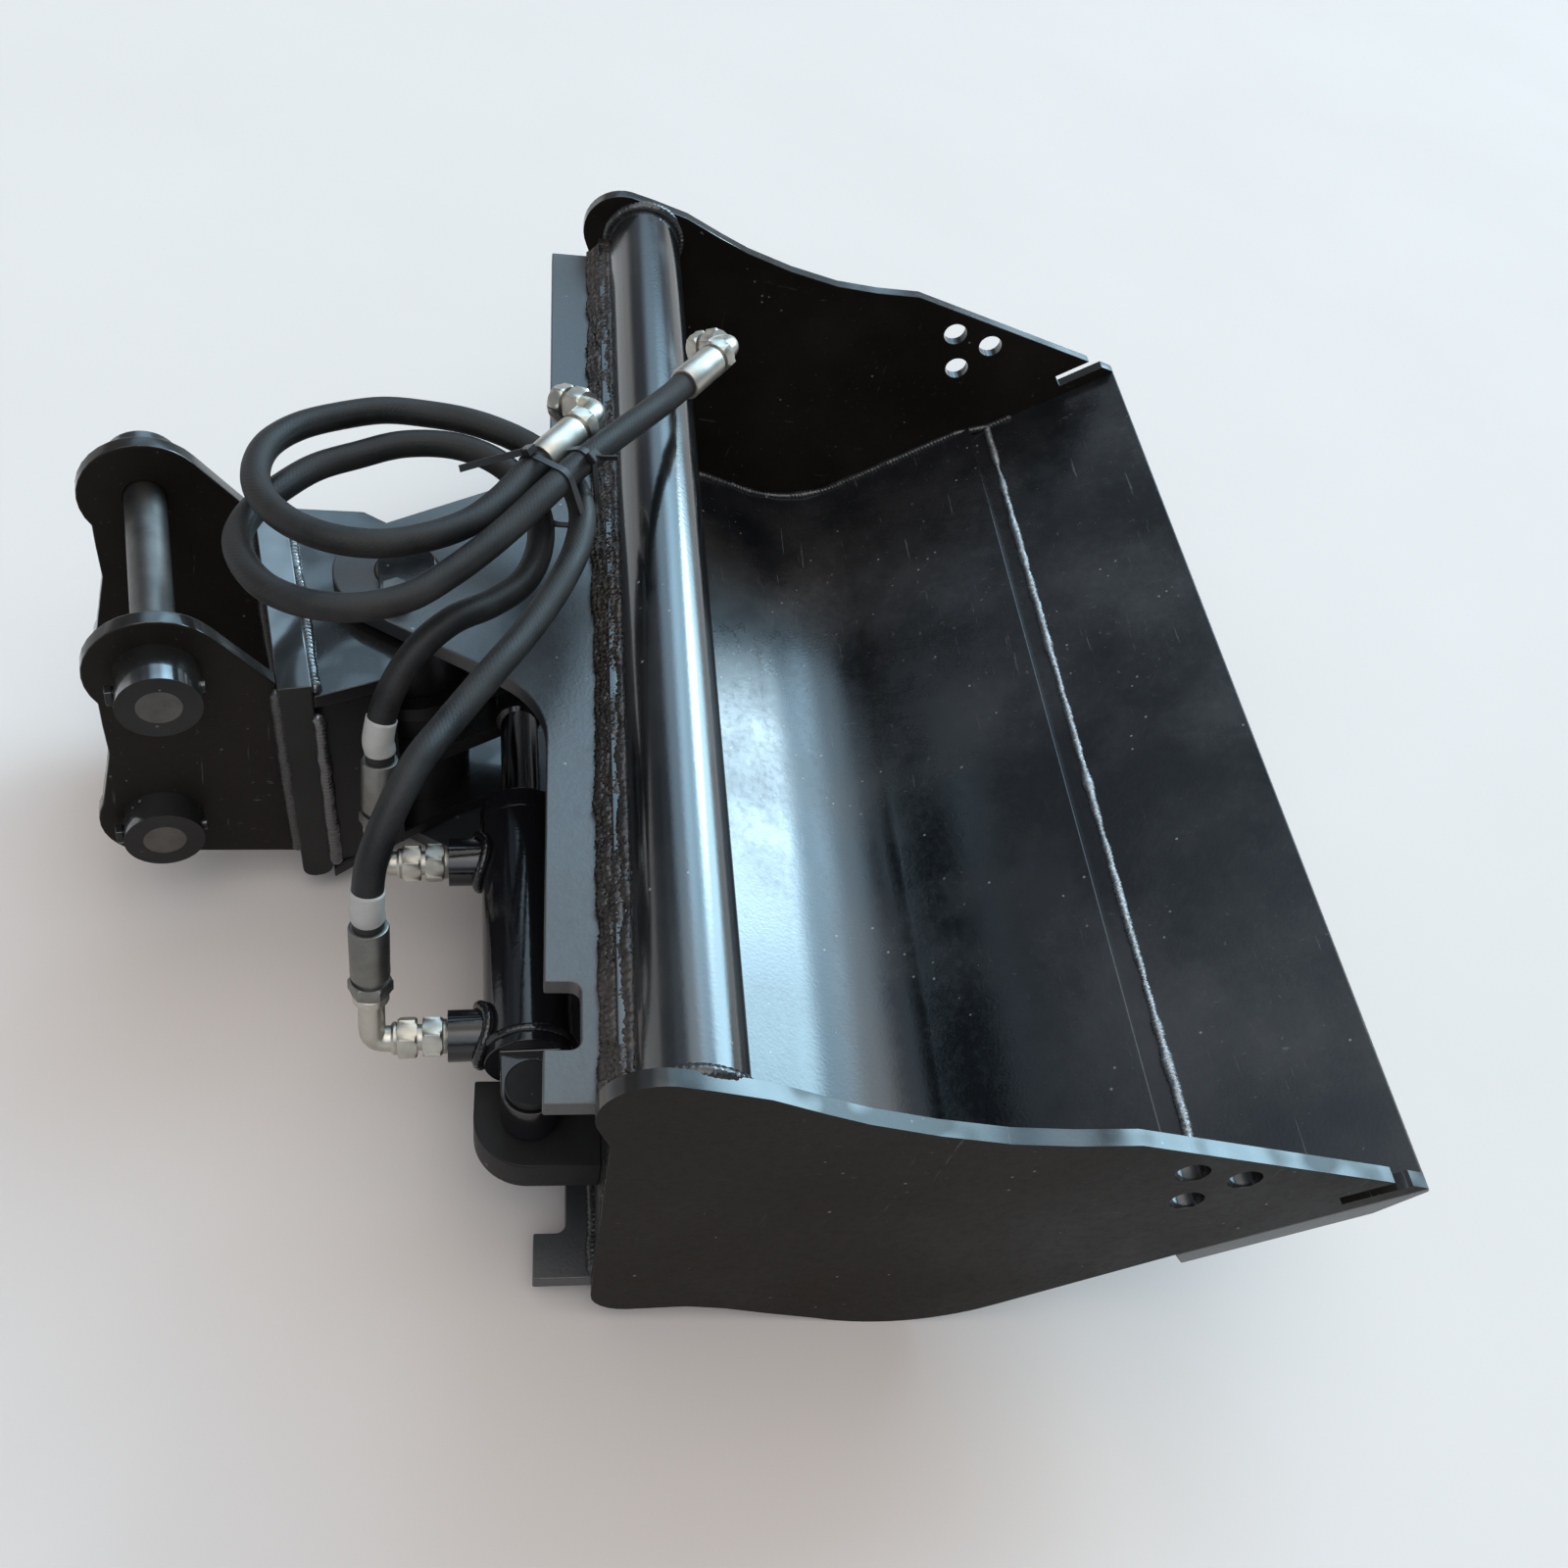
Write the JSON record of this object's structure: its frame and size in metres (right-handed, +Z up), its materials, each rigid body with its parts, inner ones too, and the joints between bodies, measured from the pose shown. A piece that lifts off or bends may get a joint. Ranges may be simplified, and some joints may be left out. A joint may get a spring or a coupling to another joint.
{
  "type": "tilt bucket",
  "caption": "Rolled-plate ditching bucket for a small excavator with a hydraulic tilt head, hitch ears and coiled hoses, lying on its back.",
  "frame": {"origin": "on the floor under the middle of the bounding box, without the hoses and their end fittings", "axes": "+X across the bucket from the near side plate to the far one, +Y from the cutting edge to the hitch ears, +Z up out of the bucket's mouth as it lies on its back"},
  "size_m": [0.8, 0.8039, 0.3236],
  "materials": {
    "black_paint": "glossy black paint over rolled plate and weld beads",
    "edge_paint": "glossy black paint, thin along the edge",
    "pin_steel": "ground steel, greased",
    "plated_steel": "bright zinc plating",
    "rod_chrome": "hard chrome, polished",
    "bush_bronze": "turned bronze",
    "hose_rubber": "matte hose cover"
  },
  "bodies": {
    "bucket": {"side_plate_near": "black_paint", "side_plate_far": "black_paint", "rolled_shell": "black_paint", "top_plate": "black_paint", "cutting_edge": "edge_paint", "torque_tube": "black_paint", "front_support_plate": "black_paint", "rear_support_plate": "black_paint", "pivot_pin": "pin_steel", "pin_keeper": "black_paint", "keeper_bolt": "pin_steel", "thrust_washer_front": "pin_steel", "thrust_washer_rear": "pin_steel", "cylinder_lug": "black_paint", "base_pin": "pin_steel"},
    "tilt_head": {"head_front_plate": "black_paint", "head_rear_plate": "black_paint", "head_base_plate": "black_paint", "head_gussets": "black_paint", "pivot_housing": "black_paint", "pivot_bush_front": "bush_bronze", "pivot_bush_rear": "bush_bronze", "rod_lug_front": "black_paint", "rod_lug_rear": "black_paint", "rod_stub_front": "pin_steel", "rod_stub_rear": "pin_steel", "ear_near": "black_paint", "ear_far": "black_paint", "boss_front_near": "black_paint", "boss_front_far": "black_paint", "boss_rear_near": "black_paint", "boss_rear_far": "black_paint", "hitch_pin_front": "pin_steel", "hitch_pin_rear": "pin_steel", "retainers_near": "pin_steel", "retainers_far": "pin_steel"},
    "cylinder_barrel": {"barrel_cap": "black_paint", "base_bush": "bush_bronze", "barrel_tube": "black_paint", "gland": "black_paint", "wiper_seal": "hose_rubber", "port_base": "black_paint", "port_gland": "black_paint", "adapter_base": "plated_steel", "adapter_gland": "plated_steel", "elbow_base": "plated_steel", "elbow_gland": "plated_steel", "ferrule_base": "plated_steel", "ferrule_gland": "plated_steel", "hose_base": "hose_rubber", "hose_gland": "hose_rubber", "free_fitting_a": "plated_steel", "free_fitting_b": "plated_steel", "plug_a": "plated_steel", "plug_b": "plated_steel"},
    "cylinder_rod": {"piston": "pin_steel", "piston_rod": "rod_chrome", "rod_eye": "black_paint", "rod_bush": "bush_bronze", "rod_pin": "pin_steel"}
  },
  "joints": [
    {"name": "tilt", "type": "hinge", "parent": "bucket", "child": "tilt_head", "pos_m": [0, 0.18696, 0.11174], "axis": [0, 0.1031, 0.9947], "range_deg": [-41.8, 18.2]},
    {"name": "barrel_swing", "type": "hinge", "parent": "bucket", "child": "cylinder_barrel", "pos_m": [-0.321, 0.10221, 0.11851], "axis": [0, 0.1031, 0.9947], "range_deg": [-0.4, 2.1]},
    {"name": "rod_slide", "type": "slide", "parent": "cylinder_barrel", "child": "cylinder_rod", "axis": [0.9991, 0.043, -0.0045], "range_m": [-0.0515, 0.0225]}
  ],
  "couplings": [
    {"joint": "rod_slide", "follows": "tilt", "m_per_rad": 0.0702},
    {"joint": "barrel_swing", "follows": "tilt", "ratio": -0.0209}
  ]
}
